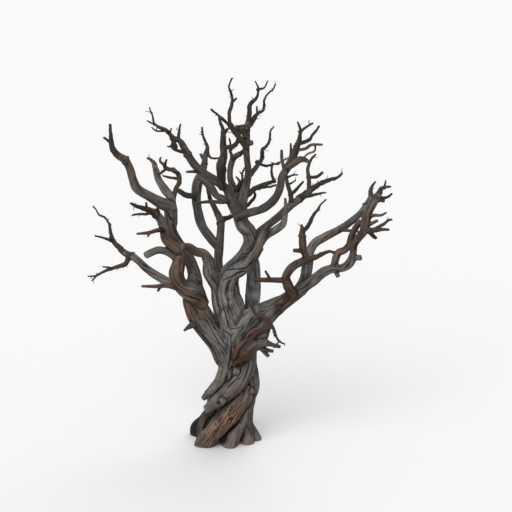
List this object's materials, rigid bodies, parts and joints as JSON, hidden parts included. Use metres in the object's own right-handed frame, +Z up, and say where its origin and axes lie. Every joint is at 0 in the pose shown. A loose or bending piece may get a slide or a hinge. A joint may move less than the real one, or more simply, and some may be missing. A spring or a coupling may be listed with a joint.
{
  "type": "dead tree",
  "caption": "Dead tree with a twisted trunk on spread roots, bare crooked boughs and thin leafless twigs, rooted in level ground.",
  "frame": {"origin": "on the flat cut under the trunk, at ground level, inside the root flare", "axes": "+Z up the tree, +X towards the long right bough, -Y towards the viewer's side with the low front bough"},
  "size_m": [5.0029, 2.6435, 6.0248],
  "materials": {
    "weathered_wood": "weathered grey-brown wood with long grooves",
    "warm_bark": "darker reddish-brown wood with long grooves",
    "dark_twigs": "thin dark brown bare twigs"
  },
  "bodies": {
    "root": {"trunk": "weathered_wood", "left_bough_lower": "weathered_wood", "left_bough_middle": "weathered_wood", "left_bough_upper": "weathered_wood", "centre_bough_lower": "weathered_wood", "centre_bough_upper": "weathered_wood", "right_bough_lower": "weathered_wood", "right_bough_middle": "weathered_wood", "right_bough_upper": "weathered_wood", "left_curl_lower": "warm_bark", "left_curl_upper": "warm_bark", "left_horn": "warm_bark", "left_low_bough": "weathered_wood", "left_fork_bough": "weathered_wood", "centre_left_stem": "weathered_wood", "centre_left_arm": "weathered_wood", "centre_back_stem": "weathered_wood", "centre_back_bough": "weathered_wood", "back_left_stem": "weathered_wood", "loop_bough": "weathered_wood", "crown_left_bough": "weathered_wood", "crown_top_bough": "weathered_wood", "crown_arch": "weathered_wood", "crown_back_bough": "weathered_wood", "crown_front_bough": "weathered_wood", "right_arch_lower": "weathered_wood", "right_arch_upper": "weathered_wood", "centre_right_bough": "weathered_wood", "right_upper_lower": "weathered_wood", "right_upper_outer": "weathered_wood", "right_second_bough": "warm_bark", "right_front_lower": "warm_bark", "right_front_upper": "warm_bark", "front_bough": "warm_bark", "left_tip_twigs": "dark_twigs", "left_curl_twigs": "dark_twigs", "left_low_twigs": "dark_twigs", "left_fork_twigs": "dark_twigs", "left_loop_twigs": "dark_twigs", "crown_left_twigs": "dark_twigs", "loop_twigs": "dark_twigs", "crown_front_twigs": "dark_twigs", "crown_front_side_twigs": "dark_twigs", "top_left_twigs": "dark_twigs", "crown_back_twigs": "dark_twigs", "top_twigs": "dark_twigs", "crown_right_twigs": "dark_twigs", "mid_right_twigs": "dark_twigs", "arch_twigs": "dark_twigs", "centre_right_twigs": "dark_twigs", "centre_right_side_twigs": "dark_twigs", "right_tip_twigs": "dark_twigs", "right_upper_twigs": "dark_twigs", "right_rising_twigs": "dark_twigs", "right_front_twigs": "dark_twigs", "right_front_side_twigs": "dark_twigs", "front_vine_twigs": "dark_twigs", "front_finger_twigs": "dark_twigs", "back_left_twigs": "dark_twigs"}
  },
  "joints": []
}
